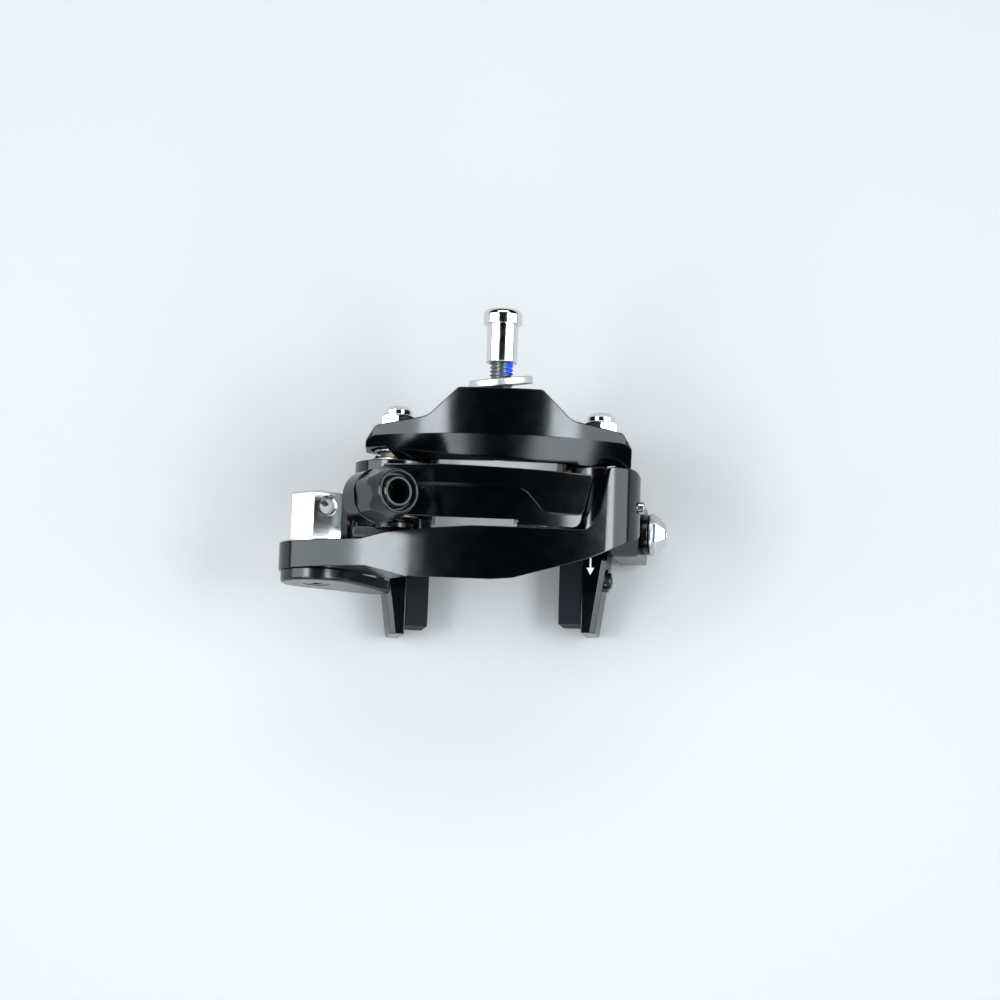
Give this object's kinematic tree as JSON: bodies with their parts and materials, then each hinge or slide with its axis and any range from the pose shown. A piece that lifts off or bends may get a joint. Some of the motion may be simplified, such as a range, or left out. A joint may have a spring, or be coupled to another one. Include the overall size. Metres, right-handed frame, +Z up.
{
  "type": "rim brake caliper",
  "caption": "Black dual pivot rim brake caliper with recessed nut, barrel adjuster, cable anchor with quick release and sliding brake shoes.",
  "frame": {"origin": "on the centre bolt's axis, in the rear seat face of the back plate", "axes": "+Y rearwards along the centre bolt, +Z up, +X towards the shoulder of the front arm"},
  "size_m": [0.1006, 0.0793, 0.0759],
  "materials": {
    "black_paint": "satin gloss black paint on forged aluminium",
    "black_satin": "satin black anodised",
    "dark_grey": "semi-matte dark grey",
    "chrome": "bright plated steel",
    "bolt_steel": "plated steel",
    "washer_steel": "satin stainless steel",
    "spring_steel": "drawn spring wire",
    "bush_bronze": "plain bearing bronze",
    "roller_plastic": "dark acetal",
    "pad_rubber": "matte black brake compound"
  },
  "bodies": {
    "bridge": {"back_plate": "black_paint", "centre_bolt": "bolt_steel", "pivot_bolt_left": "black_satin", "pivot_bolt_right": "black_satin", "dome_nut_left": "chrome", "dome_nut_right": "chrome", "pivot_bush_left": "bush_bronze", "pivot_bush_right": "bush_bronze", "return_spring_left": "spring_steel", "return_spring_right": "spring_steel"},
    "sleeve_nut": {"sleeve_nut": "chrome"},
    "mount_washer": {"mount_washer": "washer_steel"},
    "right_arm": {"front_arm": "black_paint", "spring_plate_right": "washer_steel", "roller_pin": "bolt_steel"},
    "sync_roller": {"sync_roller": "roller_plastic"},
    "centring_screw": {"centring_screw": "bolt_steel"},
    "quick_release_lever": {"quick_release_lever": "black_satin", "eccentric_shaft": "bolt_steel", "lever_screw": "black_satin"},
    "cable_anchor": {"anchor_drum": "chrome", "anchor_washer": "washer_steel"},
    "clamp_screw": {"clamp_screw": "bolt_steel"},
    "left_arm": {"left_arm": "black_paint", "spring_plate_left": "washer_steel"},
    "adjuster_knob": {"adjuster_knob": "dark_grey"},
    "adjuster_barrel": {"adjuster_barrel": "black_satin"},
    "left_shoe_clamp": {"cup_washer_left": "black_satin", "flat_washer_left": "washer_steel", "inner_cup_washer_left": "washer_steel", "inner_dome_washer_left": "washer_steel", "cone_nut_left": "chrome"},
    "left_shoe": {"shoe_stud_left": "bolt_steel", "pad_holder_left": "black_paint", "brake_pad_left": "pad_rubber", "pad_screw_left": "black_satin"},
    "right_shoe_clamp": {"cup_washer_right": "black_satin", "flat_washer_right": "washer_steel", "inner_cup_washer_right": "washer_steel", "inner_dome_washer_right": "washer_steel", "cone_nut_right": "chrome"},
    "right_shoe": {"shoe_stud_right": "bolt_steel", "pad_holder_right": "black_paint", "brake_pad_right": "pad_rubber", "pad_screw_right": "black_satin"}
  },
  "joints": [
    {"name": "sleeve_nut_travel", "type": "slide", "parent": "bridge", "child": "sleeve_nut", "axis": [0, 1, 0], "range_m": [-0.0008, 0.02]},
    {"name": "mount_washer_play", "type": "slide", "parent": "bridge", "child": "mount_washer", "axis": [0, 1, 0], "range_m": [0, 0.002]},
    {"name": "right_arm_pivot", "type": "hinge", "parent": "bridge", "child": "right_arm", "pos_m": [0.026, -0.0258, -0.008], "axis": [0, 1, 0], "range_deg": [0, 10], "stiffness_Nm_per_rad": 0.3, "springref_deg": -34.38, "deforming": ["return_spring_right"]},
    {"name": "left_arm_pivot", "type": "hinge", "parent": "bridge", "child": "left_arm", "pos_m": [-0.026, -0.0258, -0.008], "axis": [0, 1, 0], "range_deg": [-10, 0], "stiffness_Nm_per_rad": 0.3, "springref_deg": 34.38, "deforming": ["return_spring_left"]},
    {"name": "sync_roller_spin", "type": "hinge", "parent": "right_arm", "child": "sync_roller", "pos_m": [0.012, -0.0307, -0.0004], "axis": [0, 1, 0], "continuous": true},
    {"name": "centring_screw_turn", "type": "hinge", "parent": "right_arm", "child": "centring_screw", "pos_m": [0.035, -0.0274, -0.006], "axis": [1, 0, 0], "range_deg": [-180, 180]},
    {"name": "quick_release_turn", "type": "hinge", "parent": "right_arm", "child": "quick_release_lever", "pos_m": [-0.0456, -0.0418, -0.018], "axis": [0, 1, 0], "range_deg": [0, 110]},
    {"name": "cable_anchor_turn", "type": "hinge", "parent": "quick_release_lever", "child": "cable_anchor", "pos_m": [-0.0456, -0.0288, -0.0192], "axis": [0, 1, 0], "range_deg": [-115, 5]},
    {"name": "clamp_screw_travel", "type": "slide", "parent": "cable_anchor", "child": "clamp_screw", "axis": [0, 1, 0], "range_m": [0, 0.003]},
    {"name": "adjuster_knob_turn", "type": "hinge", "parent": "left_arm", "child": "adjuster_knob", "pos_m": [-0.02718, -0.0288, 0.0145], "axis": [0.4848, 0, 0.8746], "range_deg": [-360, 360]},
    {"name": "adjuster_barrel_travel", "type": "slide", "parent": "left_arm", "child": "adjuster_barrel", "axis": [0.4848, 0, 0.8746], "range_m": [-0.0007, 0.0007]},
    {"name": "left_shoe_height", "type": "slide", "parent": "left_arm", "child": "left_shoe_clamp", "axis": [0.165, 0, 0.9863], "range_m": [-0.003, 0.007]},
    {"name": "left_shoe_swivel", "type": "hinge", "parent": "left_shoe_clamp", "child": "left_shoe", "pos_m": [-0.03563, -0.0311, -0.04492], "axis": [-0.9863, 0, 0.165], "range_deg": [-12, 12]},
    {"name": "right_shoe_height", "type": "slide", "parent": "right_arm", "child": "right_shoe_clamp", "axis": [-0.165, 0, 0.9863], "range_m": [-0.003, 0.007]},
    {"name": "right_shoe_swivel", "type": "hinge", "parent": "right_shoe_clamp", "child": "right_shoe", "pos_m": [0.03563, -0.0292, -0.04492], "axis": [0.9863, 0, 0.165], "range_deg": [-12, 12]}
  ],
  "couplings": [
    {"joint": "left_arm_pivot", "follows": "right_arm_pivot", "ratio": -1},
    {"joint": "cable_anchor_turn", "follows": "quick_release_turn", "ratio": -1},
    {"joint": "adjuster_barrel_travel", "follows": "adjuster_knob_turn", "m_per_rad": 0.000095493}
  ]
}
